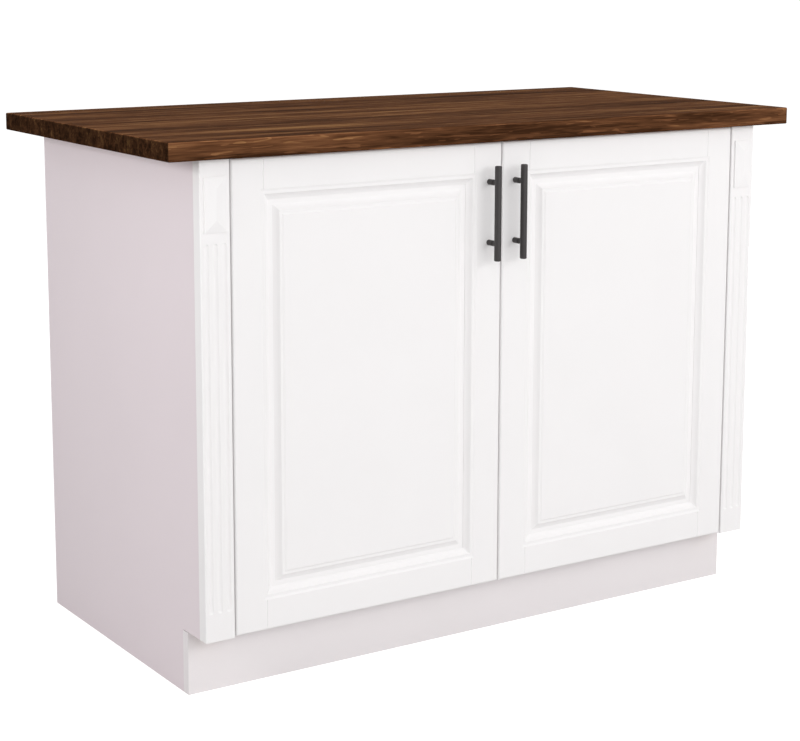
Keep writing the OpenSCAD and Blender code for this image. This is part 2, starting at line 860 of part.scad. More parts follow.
// Where a rail lies: it butts against the stiles, and its moulding meets theirs in mitres
module rail_zone(gap) {
    translate([0, door_t + cut, 0]) rotate([90, 0, 0]) linear_extrude(door_t + 2 * cut)
        polygon([[joint_u + gap, -cut], [joint_u + gap, rail_flat + joint_off],
            [stile_flat + stick_w + cut + gap, rail_flat + stick_w + cut],
            [door_w - stile_flat - stick_w - cut - gap, rail_flat + stick_w + cut],
            [door_w - joint_u - gap, rail_flat + joint_off], [door_w - joint_u - gap, -cut]]);
}
module joint_veins() {
    for (u = [joint_u, door_w - joint_u])
        translate([u, 0, -cut]) linear_extrude(rail_flat + cut)
            polygon([[-joint_v, -cut], [-joint_v, 0], [0, joint_v_d], [joint_v, 0], [joint_v, -cut]]);
}
module tenons(play) {
    for (u = [joint_u, door_w - joint_u])
        translate([u - tenon_l - play, groove_in - play, tenon_up - play])
            cube([2 * (tenon_l + play), groove_w + 2 * play, rail_flat - tenon_up + 2 * play]);
}
// Piece of a rail's section, from u = 0 to the given place
module rail_bar(to) {
    translate([to, 0, 0]) rotate([0, -90, 0]) linear_extrude(to) frame_section(rail_flat);
}

// The rails' moulding runs on over a stile's ends as far as its own
module stile() {
    difference() {
        intersection() {
            union() {
                linear_extrude(door_h) frame_section(stile_flat);
                rail_bar(joint_u + cut);
                translate([0, 0, door_h]) mirror([0, 0, 1]) rail_bar(joint_u + cut);
            }
            door_blank();
        }
        for (end = [0, 1])
            translate([0, 0, end * door_h]) mirror([0, 0, end]) {
                rail_zone(0);
                joint_veins();
                tenons(joint_gap);
            }
    }
}

module bottom_rail() {
    difference() {
        intersection() {
            rail_bar(door_w);
            door_blank();
            rail_zone(joint_gap);
        }
        joint_veins();
    }
    tenons(0);
}

module hinge_stile() {
    difference() {
        stile();
        each_hinge() {
            translate([cup_u, door_t - cup_depth, 0]) along_y() cylinder(d = cup_d, h = cup_depth + cut);
            at_cup_screws() blind_hole(cup_screw_d, cup_screw_l);
        }
    }
}

module meeting_stile() {
    difference() {
        translate([door_w, 0, 0]) mirror([1, 0, 0]) stile();
        at_posts() along_y() hole(handle_screw_d, door_t);
    }
}

module top_rail() {
    translate([0, 0, door_h]) mirror([0, 0, 1]) bottom_rail();
}

// Section across the raised panel: tongue and margin, hollow bevel, fillet, slope and field
module panel_section(len) {
    difference() {
        translate([0, field_in]) square([len, panel_back - field_in]);
        bevel_cut();
        translate([len, 0]) mirror([1, 0]) bevel_cut();
    }
}
module bevel_cut() {
    bevel_start = panel_in + margin_w;
    bevel_end = bevel_start + bevel_w;
    slope_u = bevel_end + fillet_w;
    translate([-cut, field_in - cut]) square([bevel_start + cut, tongue_v - field_in + cut]);
    intersection() {
        translate([bevel_start - cut, field_in - cut]) square([bevel_w + cut, tongue_v - field_in + cut]);
        hollow([bevel_start, tongue_v], [bevel_end, bevel_top], bevel_r);
    }
    polygon([[bevel_start, field_in - cut], [bevel_start, bevel_top], [slope_u, bevel_top],
        [slope_u + field_step, field_in], [slope_u + field_step, field_in - cut]]);
}
module door_panel() {
    translate([panel_x, 0, panel_z]) intersection() {
        linear_extrude(panel_h) panel_section(panel_w);
        translate([panel_w, 0, 0]) rotate([0, -90, 0]) linear_extrude(panel_w) panel_section(panel_h);
    }
}

module hinge_cups() {
    cup_v = door_t - cup_depth + cup_play;
    each_hinge() difference() {
        union() {
            translate([cup_u, cup_v, 0]) along_y() cylinder(r = cup_out_r, h = door_t - cup_v);
            translate([0, door_t, 0]) intersection() {
                translate([flange_u, 0, -ear_span]) cube([cup_d * 2, flange_t, ear_span * 2]);
                union() {
                    translate([cup_u, 0, 0]) along_y() cylinder(r = flange_r, h = flange_t);
                    translate([ear_u - ear_r, 0, -ear_span / 2]) cube([2 * ear_r, flange_t, ear_span]);
                    for (z = [-ear_span / 2, ear_span / 2])
                        translate([ear_u, 0, z]) along_y() cylinder(r = ear_r, h = flange_t);
                }
            }
        }
        difference() {
            translate([cup_u, cup_floor_v, 0]) along_y() cylinder(r = cup_in_r, h = cup_depth + cut);
            cheeks();
        }
        translate([pivot_u, pivot_v, 0]) cylinder(r = pin_r + fix_clear, h = pin_l + cut, center = true);
        at_cup_screws() hole(cup_screw_d, flange_t);
    }
}
// Two cheeks stand on the cup's floor, one at each side of the arm's eye
module cheeks() {
    for (z = [-cheek_z - cheek_t, cheek_z])
        translate([0, 0, z]) {
            translate([pivot_u, pivot_v, 0]) cylinder(r = eye_r, h = cheek_t);
            cube([pivot_u + eye_r, pivot_v, cheek_t]);
            cube([pivot_u, pivot_v + eye_r, cheek_t]);
        }
}

module hinge_pins() {
    each_hinge() translate([pivot_u, pivot_v, 0]) cylinder(r = pin_r, h = pin_l, center = true);
}

module cup_screws() {
    each_hinge() at_cup_screws() pan_screw(cup_screw_d, cup_screw_l, cup_head_r, cup_head_l);
}

module bar() {
    translate([door_w - handle_inset, -bar_off, door_h - handle_drop - bar_l / 2]) rotate_extrude() {
        square([bar_d / 2 - bar_end_r, bar_l]);
        translate([0, bar_end_r]) square([bar_d / 2, bar_l - 2 * bar_end_r]);
        for (z = [bar_end_r, bar_l - bar_end_r])
            intersection() {
                translate([bar_d / 2 - bar_end_r, z]) circle(bar_end_r);
                square([bar_d, bar_l]);
            }
    }
}
module handle_bar() {
    difference() {
        bar();
        at_posts() translate([0, -bar_off + bar_d / 2 - tip_l, 0]) along_y()
            cylinder(d = tip_d + 2 * fix_clear, h = tip_l + cut);
    }
}
// Each post is hollowed to fit the bar, and its thinner tip is let into it
module handle_posts() {
    at_posts() difference() {
        union() {
            difference() {
                translate([0, -bar_off, 0]) along_y() {
                    cylinder(d = post_neck_d, h = bar_off);
                    translate([0, 0, bar_off - post_foot_l]) cylinder(d = post_d, h = post_foot_l);
                }
                translate([0, -bar_off, 0]) cylinder(d = bar_d, h = 2 * post_d, center = true);
            }
            translate([0, -bar_off + bar_d / 2 - tip_l + fix_clear, 0]) along_y()
                cylinder(d = tip_d, h = tip_l + cut);
        }
        translate([0, -post_bore_l, 0]) along_y()
            cylinder(d = handle_screw_d + 2 * fix_clear, h = post_bore_l + cut);
    }
}

module handle_screws() {
    at_posts() translate([0, door_t, 0]) rotate([90, 0, 0])
        pan_screw(handle_screw_d, door_t + handle_screw_bite, handle_screw_d, handle_head_l);
}

module door_bumpers() {
    for (z = [bumper_inset, door_h - bumper_inset])
        translate([door_w - bumper_from_edge, door_t, z]) along_y()
            cylinder(r = bumper_r, h = door_gap - bumper_clear);
}

module left_hinge_stile() {
    color(lacquer) left() on_door() hinge_stile();
}
module left_meeting_stile() {
    color(lacquer) left() on_door() meeting_stile();
}
module left_top_rail() {
    color(lacquer) left() on_door() top_rail();
}
module left_bottom_rail() {
    color(lacquer) left() on_door() bottom_rail();
}
module left_door_panel() {
    color(lacquer) left() on_door() door_panel();
}
module left_hinge_cups() {
    color(steel) left() on_door() hinge_cups();
}
module left_hinge_pins() {
    color(steel) left() on_door() hinge_pins();
}
module left_cup_screws() {
    color(steel) left() on_door() cup_screws();
}
module left_handle_bar() {
    color(charcoal) left() on_door() handle_bar();
}
module left_handle_posts() {
    color(charcoal) left() on_door() handle_posts();
}
module left_handle_screws() {
    color(steel) left() on_door() handle_screws();
}
module left_door_bumpers() {
    color(silicone) left() on_door() door_bumpers();
}
module right_hinge_stile() {
    color(lacquer) right() on_door() hinge_stile();
}
module right_meeting_stile() {
    color(lacquer) right() on_door() meeting_stile();
}
module right_top_rail() {
    color(lacquer) right() on_door() top_rail();
}
module right_bottom_rail() {
    color(lacquer) right() on_door() bottom_rail();
}
module right_door_panel() {
    color(lacquer) right() on_door() door_panel();
}
module right_hinge_cups() {
    color(steel) right() on_door() hinge_cups();
}
module right_hinge_pins() {
    color(steel) right() on_door() hinge_pins();
}
module right_cup_screws() {
    color(steel) right() on_door() cup_screws();
}
module right_handle_bar() {
    color(charcoal) right() on_door() handle_bar();
}
module right_handle_posts() {
    color(charcoal) right() on_door() handle_posts();
}
module right_handle_screws() {
    color(steel) right() on_door() handle_screws();
}
module right_door_bumpers() {
    color(silicone) right() on_door() door_bumpers();
}

worktop();
worktop_screws();
left_end_panel();
right_end_panel();
left_carcass_side();
right_carcass_side();
bottom_panel();
front_top_rail();
rear_top_rail();
back_panel();
back_panel_screws();
shelf();
shelf_pins();
toe_kick();
toe_kick_brackets();
toe_kick_screws();
left_spacer_battens();
right_spacer_battens();
left_pilaster();
right_pilaster();
left_pilaster_block();
right_pilaster_block();
pilaster_dowels();
carcass_screws();
end_panel_screws();
left_hinge_plates();
right_hinge_plates();
left_hinge_arms();
right_hinge_arms();
hinge_screws();
left_hinge_stile();
left_meeting_stile();
left_top_rail();
left_bottom_rail();
left_door_panel();
left_hinge_cups();
left_hinge_pins();
left_cup_screws();
left_handle_bar();
left_handle_posts();
left_handle_screws();
left_door_bumpers();
right_hinge_stile();
right_meeting_stile();
right_top_rail();
right_bottom_rail();
right_door_panel();
right_hinge_cups();
right_hinge_pins();
right_cup_screws();
right_handle_bar();
right_handle_posts();
right_handle_screws();
right_door_bumpers();
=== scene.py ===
"""Kitchen base cabinet: finishes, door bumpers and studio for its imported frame.

The carcass, doors, hinges and handles come from the frame with their real shapes. This script gives each of
them its finish, makes the door bumpers as soft domes, and sets up the floor, light and camera.
"""

import math

import bmesh
import bpy
from mathutils import Matrix, Vector


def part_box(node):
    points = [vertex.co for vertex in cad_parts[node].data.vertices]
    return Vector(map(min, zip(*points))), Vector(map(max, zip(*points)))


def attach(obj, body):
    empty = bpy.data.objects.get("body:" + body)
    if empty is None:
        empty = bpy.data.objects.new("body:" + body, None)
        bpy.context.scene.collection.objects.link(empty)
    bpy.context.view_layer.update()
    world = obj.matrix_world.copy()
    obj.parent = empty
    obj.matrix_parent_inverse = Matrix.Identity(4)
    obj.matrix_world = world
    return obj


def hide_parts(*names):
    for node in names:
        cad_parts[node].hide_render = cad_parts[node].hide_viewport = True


bl_info = {
    "name": "Kitchen Base Cabinet",
    "version": (1, 0, 0),
    "blender": (4, 5, 0),
    "location": "3D View > Sidebar > Cabinet",
    "description": "Finishes and studio for a kitchen base cabinet with two raised-panel doors",
    "category": "Object",
}

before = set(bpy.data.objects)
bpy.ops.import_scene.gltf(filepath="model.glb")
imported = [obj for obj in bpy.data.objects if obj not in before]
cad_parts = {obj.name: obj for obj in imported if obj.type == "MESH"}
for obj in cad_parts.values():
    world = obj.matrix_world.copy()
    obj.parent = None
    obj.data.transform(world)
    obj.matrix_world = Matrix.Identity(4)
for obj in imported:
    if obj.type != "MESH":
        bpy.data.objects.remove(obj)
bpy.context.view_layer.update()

MM = 0.001
WHITE = (1, 1, 1, 1)
SIDES = ("left", "right")


# Colours and nodes


def linear(hex_colour):
    """An sRGB hex colour as linear red, green and blue."""
    channels = [int(hex_colour[i : i + 2], 16) / 255 for i in (1, 3, 5)]
    return tuple(c / 12.92 if c <= 0.04045 else ((c + 0.055) / 1.055) ** 2.4 for c in channels)


def add_node(tree, kind, sockets=None, stops=(), **settings):
    """Adds a node with its settings, and (position, colour) stops if it is a colour ramp.

    Each socket is given a value, or what feeds it: an output, or a node for that node's first output.
    """
    node = tree.nodes.new(kind)
    for name, value in settings.items():
        setattr(node, name, value)
    for key, value in (sockets or {}).items():
        if isinstance(value, bpy.types.Node):
            value = value.outputs[0]
        if isinstance(value, bpy.types.NodeSocket):
            tree.links.new(value, node.inputs[key])
        else:
            node.inputs[key].default_value = value
    for index, (position, colour) in enumerate(stops):
        elements = node.color_ramp.elements
        element = elements[index] if index < len(elements) else elements.new(position)
        element.position = position
        element.color = (*colour, 1)
    return node


def new_material(name):
    """An empty node material, its tree, and the shaded point in the part's own metres.

    The point stays put on a door when the door swings.
    """
    material = bpy.data.materials.new(name)
    material.use_nodes = True
    tree = material.node_tree
    tree.nodes.clear()
    return material, tree, add_node(tree, "ShaderNodeTexCoord").outputs["Object"]


def per_metre(size_mm):
    """Texture scale that gives features of about this size, in a texture measured in metres."""
    return 1 / (size_mm * MM)


def long_grain(tree, point, size_mm, detail, distortion=0.0):
    """Noise with features of this size in millimetres along x, y and z."""
    scale = [per_metre(size) for size in size_mm]
    stretched = add_node(tree, "ShaderNodeMapping", {"Vector": point, "Scale": scale})
    return add_node(
        tree, "ShaderNodeTexNoise",
        {"Vector": stretched, "Scale": 1.0, "Detail": detail, "Distortion": distortion},
    )


def uneven(tree, colour, pattern, strength):
    """A colour that a pattern from 0 to 1 lightens and darkens by up to this share."""
    shade = add_node(
        tree, "ShaderNodeMapRange", {"Value": pattern, "To Min": 1 - strength, "To Max": 1 + strength}
    )
    return add_node(tree, "ShaderNodeVectorMath", {0: tuple(colour), "Scale": shade}, operation="SCALE")


# Finishes


def matte_lacquer(finish):
    """Sprayed matte lacquer on milled board: even and soft-edged, with faint orange peel in its sheen."""
    material, tree, point = new_material("matte lacquer on milled board")
    # Orange peel is about 1.5 mm wide; it is drawn 6 mm wide so that it shows at the picture's size.
    peel = add_node(tree, "ShaderNodeTexNoise", {"Vector": point, "Scale": per_metre(6), "Detail": 2.0})
    # Spray passes leave hardly visible clouds about 130 mm wide.
    cloud = add_node(tree, "ShaderNodeTexNoise", {"Vector": point, "Scale": per_metre(130), "Detail": 1.0})
    shader = add_node(tree, "ShaderNodeBsdfPrincipled", {
        "Base Color": uneven(tree, finish.lacquer, cloud, 0.012),
        "Roughness": add_node(tree, "ShaderNodeMapRange", {"Value": peel, "To Min": 0.54, "To Max": 0.64}),
        "IOR": 1.5,
        "Normal": add_node(tree, "ShaderNodeBump", {"Height": peel, "Strength": 0.25, "Distance": 0.05 * MM}),
    })
    add_node(tree, "ShaderNodeOutputMaterial", {"Surface": shader})
    return material


def pearl_melamine(name, colour):
    """Melamine-faced chipboard pressed with a pearl texture: matte, with a fine even grain."""
    material, tree, point = new_material(name)
    # The pressed pearl is about 1 mm; it is drawn 3 mm wide so that it shows.
    pearl = add_node(
        tree, "ShaderNodeTexVoronoi", {"Vector": point, "Scale": per_metre(3), "Randomness": 1.0},
        feature="SMOOTH_F1",
    )
    # The printed paper under the film has faint clouds about 240 mm wide.
    cloud = add_node(tree, "ShaderNodeTexNoise", {"Vector": point, "Scale": per_metre(240), "Detail": 2.0})
    shader = add_node(tree, "ShaderNodeBsdfPrincipled", {
        "Base Color": uneven(tree, colour, cloud, 0.02),
        "Roughness": add_node(tree, "ShaderNodeMapRange", {"Value": pearl, "To Min": 0.5, "To Max": 0.62}),
        "IOR": 1.5,
        "Normal": add_node(tree, "ShaderNodeBump", {"Height": pearl, "Strength": 0.3, "Distance": 0.06 * MM}),
    })
    add_node(tree, "ShaderNodeOutputMaterial", {"Surface": shader})
    return material


def oiled_walnut(finish):
    """Oiled walnut staves, glued edge to edge: dry to the eye, ringed and flecked, each in its own tone."""
    material, tree, point = new_material("oiled walnut staves")

    # The staves run the whole length of the board. Each is cut from another place in the tree.
    across = add_node(tree, "ShaderNodeSeparateXYZ", {"Vector": point}).outputs["Y"]
    row = add_node(tree, "ShaderNodeMath", {0: across, 1: finish.stave_width}, operation="DIVIDE")
    whole_row = add_node(tree, "ShaderNodeMath", {0: row}, operation="FLOOR")
    number = add_node(tree, "ShaderNodeMath", {0: whole_row, 1: finish.first_stave}, operation="ADD")
    stave = add_node(tree, "ShaderNodeTexWhiteNoise", {"W": number}, noise_dimensions="1D").outputs
    # The places lie up to this many metres apart along each axis.
    spread = 0.9
    shift = add_node(tree, "ShaderNodeVectorMath", {0: stave["Color"], "Scale": spread}, operation="SCALE")
    cut = add_node(tree, "ShaderNodeVectorMath", {0: point, 1: shift}, operation="ADD")

    # Bands of darker heartwood are about 24 mm wide, and the growth rings in them 7 mm.
    bands = long_grain(tree, cut, (420, 24, 24), detail=2.0, distortion=0.5)
    rings = long_grain(tree, cut, (150, 7, 7), detail=3.0, distortion=0.5)
    # Fibres and open pores are 0.3 mm wide; they are drawn 2 mm wide and 45 mm long so that they show.
    fibre = long_grain(tree, cut, (45, 2, 2), detail=2.0, distortion=0.5)
    # Where the plane lifted the grain, short flecks about 5 mm wide have dried paler.
    lifted = long_grain(tree, cut, (55, 5, 5), detail=1.0, distortion=0.5)
    fleck_threshold = 0.62
    fleck = add_node(tree, "ShaderNodeMath", {0: lifted, 1: fleck_threshold}, operation="GREATER_THAN")

    # The layers add up to one tone, each by its own share. The flecks' share starts from the base tone.
    base_tone, fleck_share = -0.05, 0.09
    tone = add_node(
        tree, "ShaderNodeMapRange", {"Value": fleck, "To Min": base_tone, "To Max": base_tone + fleck_share}
    )
    own_tone = add_node(tree, "ShaderNodeMath", {0: stave["Value"], 1: 0.5}, operation="SUBTRACT")
    for layer, share in ((fibre, 0.3), (rings, 0.4), (bands, 0.5), (own_tone, 0.14)):
        tone = add_node(tree, "ShaderNodeMath", {0: layer, 1: share, 2: tone}, operation="MULTIPLY_ADD")
    colour = add_node(tree, "ShaderNodeValToRGB", {"Fac": tone}, stops=[
        (0.42, finish.walnut_dark),
        (0.54, finish.walnut_mid),
        (0.64, finish.walnut_light),
        (0.78, finish.walnut_streak),
    ])

    # End grain drinks more oil and is much darker, more in some staves than in others.
    facing = add_node(tree, "ShaderNodeTexCoord").outputs["Normal"]
    normal = add_node(tree, "ShaderNodeSeparateXYZ", {"Vector": facing}).outputs
    endwise = add_node(tree, "ShaderNodeMath", {0: normal["X"]}, operation="ABSOLUTE")
    end_threshold = 0.7
    end = add_node(tree, "ShaderNodeMath", {0: endwise, 1: end_threshold}, operation="GREATER_THAN")
    least_soaked, most_soaked = 0.62, 0.81
    soaked = add_node(
        tree, "ShaderNodeMapRange", {"Value": stave["Value"], "To Min": least_soaked, "To Max": most_soaked}
    )
    end_loss = add_node(tree, "ShaderNodeMath", {0: end, 1: soaked}, operation="MULTIPLY")
    end_shade = add_node(tree, "ShaderNodeMath", {0: 1.0, 1: end_loss}, operation="SUBTRACT")

    # Painted highlight: the upper arris, half up and half out, is drawn paler than the faces beside it.
    upward = add_node(tree, "ShaderNodeMath", {0: normal["Z"], 1: 0.0}, operation="MAXIMUM")
    upright = add_node(tree, "ShaderNodeMath", {0: normal["Z"]}, operation="ABSOLUTE")
    sideways = add_node(tree, "ShaderNodeMath", {0: 1.0, 1: upright}, operation="SUBTRACT")
    arris_highlight_mask = add_node(tree, "ShaderNodeMath", {0: upward, 1: sideways}, operation="MULTIPLY")
    arris_highlight_gain = 2.4
    # How much paler the painted highlight makes the arris.
    painted_arris_highlight = add_node(
        tree, "ShaderNodeMath", {0: arris_highlight_mask, 1: arris_highlight_gain, 2: 1.0}, operation="MULTIPLY_ADD"
    )

    # The glue between two staves is a hairline. It is drawn 1.2 mm wide so that it shows.
    half_seam = 0.6 * MM / finish.stave_width
    seam_tone = 0.72
    in_row = add_node(tree, "ShaderNodeMath", {0: row}, operation="FRACT")
    from_middle = add_node(tree, "ShaderNodeMath", {0: in_row, 1: 0.5}, operation="SUBTRACT")
    off_middle = add_node(tree, "ShaderNodeMath", {0: from_middle}, operation="ABSOLUTE")
    seam = add_node(tree, "ShaderNodeMath", {0: off_middle, 1: 0.5 - half_seam}, operation="GREATER_THAN")
    seam_shade = add_node(tree, "ShaderNodeMapRange", {"Value": seam, "To Min": 1.0, "To Max": seam_tone})

    # The real darker end grain, times the painted highlight on the upper arris.
    end_grain_and_arris_highlight = add_node(tree, "ShaderNodeMath", {0: end_shade, 1: painted_arris_highlight}, operation="MULTIPLY")
    shade = add_node(tree, "ShaderNodeMath", {0: end_grain_and_arris_highlight, 1: seam_shade}, operation="MULTIPLY")
    # The oil has gone in and dried, so the fibres scatter nearly all the light.
    shader = add_node(tree, "ShaderNodeBsdfPrincipled", {
        "Base Color": add_node(tree, "ShaderNodeVectorMath", {0: colour, "Scale": shade}, operation="SCALE"),
        "Roughness": add_node(tree, "ShaderNodeMapRange", {"Value": fibre, "To Min": 0.78, "To Max": 0.94}),
        "IOR": 1.45,
        "Specular IOR Level": 0.01,
        "Normal": add_node(tree, "ShaderNodeBump", {"Height": fibre, "Strength": 0.4, "Distance": 0.12 * MM}),
    })
    add_node(tree, "ShaderNodeOutputMaterial", {"Surface": shader})
    return material


def powder_coated_steel(finish):
    """Charcoal powder coat baked on steel bar: satin, with the fine grit of the melted powder."""
    material, tree, point = new_material("charcoal powder coat on steel")
    # The grit is 0.4 mm; it is drawn 1.2 mm wide so that it shows.
    grit = add_node(tree, "ShaderNodeTexNoise", {"Vector": point, "Scale": per_metre(1.2), "Detail": 1.0})
    shader = add_node(tree, "ShaderNodeBsdfPrincipled", {
        "Base Color": uneven(tree, finish.charcoal, grit, 0.08),
        "Roughness": add_node(tree, "ShaderNodeMapRange", {"Value": grit, "To Min": 0.42, "To Max": 0.58}),
        "IOR": 1.5,
        "Normal": add_node(tree, "ShaderNodeBump", {"Height": grit, "Strength": 0.3, "Distance": 0.05 * MM}),
    })
    add_node(tree, "ShaderNodeOutputMaterial", {"Surface": shader})
    return material


def plated_steel(name, colour, smoothest, roughest):
    """Pressed steel plated bright: metallic, with faint drawing lines in its reflections."""
    material, tree, point = new_material(name)
    # Drawing lines are finer than a millimetre; they are drawn 1 mm wide and 20 mm long so that they show.
    lines = long_grain(tree, point, (1, 20, 1), detail=2.0)
    shader = add_node(tree, "ShaderNodeBsdfPrincipled", {
        "Base Color": (*colour, 1),
        "Metallic": 1.0,
        "Roughness": add_node(
            tree, "ShaderNodeMapRange", {"Value": lines, "To Min": smoothest, "To Max": roughest}
        ),
        "Normal": add_node(
            tree, "ShaderNodeBump", {"Height": lines, "Strength": 0.15, "Distance": 0.02 * MM}
        ),
    })
    add_node(tree, "ShaderNodeOutputMaterial", {"Surface": shader})
    return material


def painted_hardboard(finish):
    """White painted hardboard: matte, with the soft mottling of pressed fibre."""
    material, tree, point = new_material("painted hardboard")
    # The pressed fibres lie in tufts about 4 mm wide.
    tufts = add_node(tree, "ShaderNodeTexNoise", {"Vector": point, "Scale": per_metre(4), "Detail": 4.0})
    shader = add_node(tree, "ShaderNodeBsdfPrincipled", {
        "Base Color": uneven(tree, finish.hardboard, tufts, 0.05),
        "Roughness": 0.62,
        "IOR": 1.5,
        "Normal": add_node(tree, "ShaderNodeBump", {"Height": tufts, "Strength": 0.3, "Distance": 0.1 * MM}),
    })
    add_node(tree, "ShaderNodeOutputMaterial", {"Surface": shader})
    return material


def bare_wood(name, light, dark, ring_mm):
    """Bare pine or beech with an upright grain: matte, with rings of this width in two tones."""
    material, tree, point = new_material(name)
    # A ring wanders out of the cut after about 60 mm.
    rings = long_grain(tree, point, (ring_mm, ring_mm, 60), detail=3.0, distortion=0.6)
    shader = add_node(tree, "ShaderNodeBsdfPrincipled", {
        "Base Color": add_node(
            tree, "ShaderNodeValToRGB", {"Fac": rings}, stops=[(0.35, light), (0.68, dark)]
        ),
        "Roughness": 0.6,
        "IOR": 1.5,
        "Normal": add_node(tree, "ShaderNodeBump", {"Height": rings, "Strength": 0.3, "Distance": 0.1 * MM}),
    })
    add_node(tree, "ShaderNodeOutputMaterial", {"Surface": shader})
    return material


def clear_polyurethane(finish):
    """Clear soft polyurethane, poured in domes: half clear, slightly blue and glossy."""
    material, tree, point = new_material("clear polyurethane")
    # The poured skin has ripples about 2 mm wide.
    ripples = add_node(tree, "ShaderNodeTexNoise", {"Vector": point, "Scale": per_metre(2)})
    shader = add_node(tree, "ShaderNodeBsdfPrincipled", {
        "Base Color": (*finish.bumper, 1),
        "Roughness": add_node(tree, "ShaderNodeMapRange", {"Value": ripples, "To Min": 0.15, "To Max": 0.3}),
        "IOR": 1.5,
        "Transmission Weight": 0.5,
    })
    add_node(tree, "ShaderNodeOutputMaterial", {"Surface": shader})
    return material


def dress(material, *nodes):
    """Gives frame nodes their finish."""
    for name in nodes:
        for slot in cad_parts[name].material_slots:
            slot.material = material


def dress_both_sides(material, *pieces):
    """Gives the left and the right one of each piece their finish."""
    dress(material, *(f"{side}_{piece}" for side in SIDES for piece in pieces))


# Settings a user would change


def colour_setting(name, description, hex_colour):
    """A colour property with its default as an sRGB hex value."""
    return bpy.props.FloatVectorProperty(
        name=name, description=description, subtype="COLOR", size=3, min=0, max=1, default=linear(hex_colour)
    )


def lamp_setting(name, description, watts):
    """A property for the power of a lamp."""
    return bpy.props.FloatProperty(
        name=name, description=description, default=watts, min=0, max=2000, unit="POWER"
    )


class CabinetFinishes(bpy.types.PropertyGroup):
    lacquer: colour_setting("Lacquer", "Colour of the doors and pilasters", "#F4F2F2")
    # Painted shade: the end panels' white melamine is drawn darker and pinker than the same board on the toe
    # kick.
    melamine: colour_setting("Melamine", "Colour of the end panels", "#E8DDE1")
    carcass: colour_setting("Carcass", "Colour of the boards inside", "#EAE7E6")
    plinth: colour_setting("Toe kick", "Colour of the toe kick's board", "#EDE8E9")
    walnut_dark: colour_setting("Walnut, dark", "Colour of the darkest rings", "#3A2314")
    walnut_mid: colour_setting("Walnut", "Main colour of the worktop", "#5F3D27")
    walnut_light: colour_setting("Walnut, light", "Colour between the rings", "#7B5236")
    walnut_streak: colour_setting("Walnut, streaks", "Colour of the few lightest streaks", "#A67A4E")
    stave_width: bpy.props.FloatProperty(
        name="Stave width", description="Width of each stave of the worktop",
        default=40 * MM, min=20 * MM, max=120 * MM, unit="LENGTH",
    )
    first_stave: bpy.props.IntProperty(
        name="Stave order", description="Which stave of the random row comes first", default=7, min=0, max=100
    )
    charcoal: colour_setting("Charcoal", "Colour of the handles", "#302C2C")
    nickel: colour_setting("Nickel", "Colour of the hinges", "#D2CDC4")
    zinc: colour_setting("Zinc", "Colour of the screws and brackets", "#C3C6CA")
    hardboard: colour_setting("Hardboard", "Colour of the back", "#EAE8E4")
    pine: colour_setting("Pine", "Light colour of the battens", "#E2C596")
    pine_dark: colour_setting("Pine, rings", "Dark colour of the battens", "#C79A62")
    beech: colour_setting("Beech", "Light colour of the dowels", "#D9B48B")
    beech_dark: colour_setting("Beech, flecks", "Dark colour of the dowels", "#B98C62")
    bumper: colour_setting("Bumpers", "Colour of the soft door bumpers", "#DCE4EA")


class CabinetStudio(bpy.types.PropertyGroup):
    floor_colour: colour_setting("Floor", "Colour of the floor", "#D3D2D2")
    sky: bpy.props.FloatProperty(
        name="Ambient light", description="Strength of the even light from all round",
        default=0.54, min=0, max=3,
    )
    key: lamp_setting("Key light", "Power of the light in front and to the right", 30)
    front: lamp_setting("Front light", "Power of the wide light in front", 75)
    side: lamp_setting("Side light", "Power of the light at the left end", 8.4)
    rear: lamp_setting("Rear light", "Power of the low light behind and to the right", 72)
    lens: bpy.props.FloatProperty(
        name="Lens", description="Focal length", default=86.6, min=20, max=300, subtype="DISTANCE_CAMERA"
    )


# Pieces


class CABINET_OT_worktop(bpy.types.Operator):
    """Finish the overhanging worktop"""

    bl_idname = "cabinet.worktop"
    bl_label = "Worktop"

    def execute(self, context):
        dress(oiled_walnut(context.scene.cabinet_finishes), "worktop")
        return {"FINISHED"}


class CABINET_OT_doors(bpy.types.Operator):
    """Finish the frames and raised panels of both doors"""

    bl_idname = "cabinet.doors"
    bl_label = "Doors"

    def execute(self, context):
        lacquer = matte_lacquer(context.scene.cabinet_finishes)
        dress_both_sides(lacquer, "hinge_stile", "meeting_stile", "top_rail", "bottom_rail", "door_panel")
        return {"FINISHED"}


class CABINET_OT_pilasters(bpy.types.Operator):
    """Finish the fluted pilasters and their blocks"""

    bl_idname = "cabinet.pilasters"
    bl_label = "Pilasters"

    def execute(self, context):
        lacquer = matte_lacquer(context.scene.cabinet_finishes)
        dress_both_sides(lacquer, "pilaster", "pilaster_block")
        return {"FINISHED"}


class CABINET_OT_carcass(bpy.types.Operator):
    """Finish the end panels, inner boards, back, toe kick, battens and dowels"""

    bl_idname = "cabinet.carcass"
    bl_label = "Carcass"

    def execute(self, context):
        finish = context.scene.cabinet_finishes
        inside = pearl_melamine("pearl melamine carcass board", finish.carcass)
        dress(inside, "bottom_panel", "front_top_rail", "rear_top_rail", "shelf")
        dress_both_sides(inside, "carcass_side")
        # The end panels get a darker, pinker copy of the melamine: painted shade of the left end.
        dress_both_sides(pearl_melamine("pearl melamine end panel with painted shade", finish.melamine), "end_panel")
        dress(pearl_melamine("pearl melamine toe kick", finish.plinth), "toe_kick")
        dress(painted_hardboard(finish), "back_panel")
        dress_both_sides(bare_wood("planed pine", finish.pine, finish.pine_dark, ring_mm=5), "spacer_battens")
        dress(bare_wood("turned beech", finish.beech, finish.beech_dark, ring_mm=2), "pilaster_dowels")
        return {"FINISHED"}


class CABINET_OT_handles(bpy.types.Operator):
    """Finish the handle bars and posts"""

    bl_idname = "cabinet.handles"
    bl_label = "Handles"

    def execute(self, context):
        coat = powder_coated_steel(context.scene.cabinet_finishes)
        dress_both_sides(coat, "handle_bar", "handle_posts")
        return {"FINISHED"}


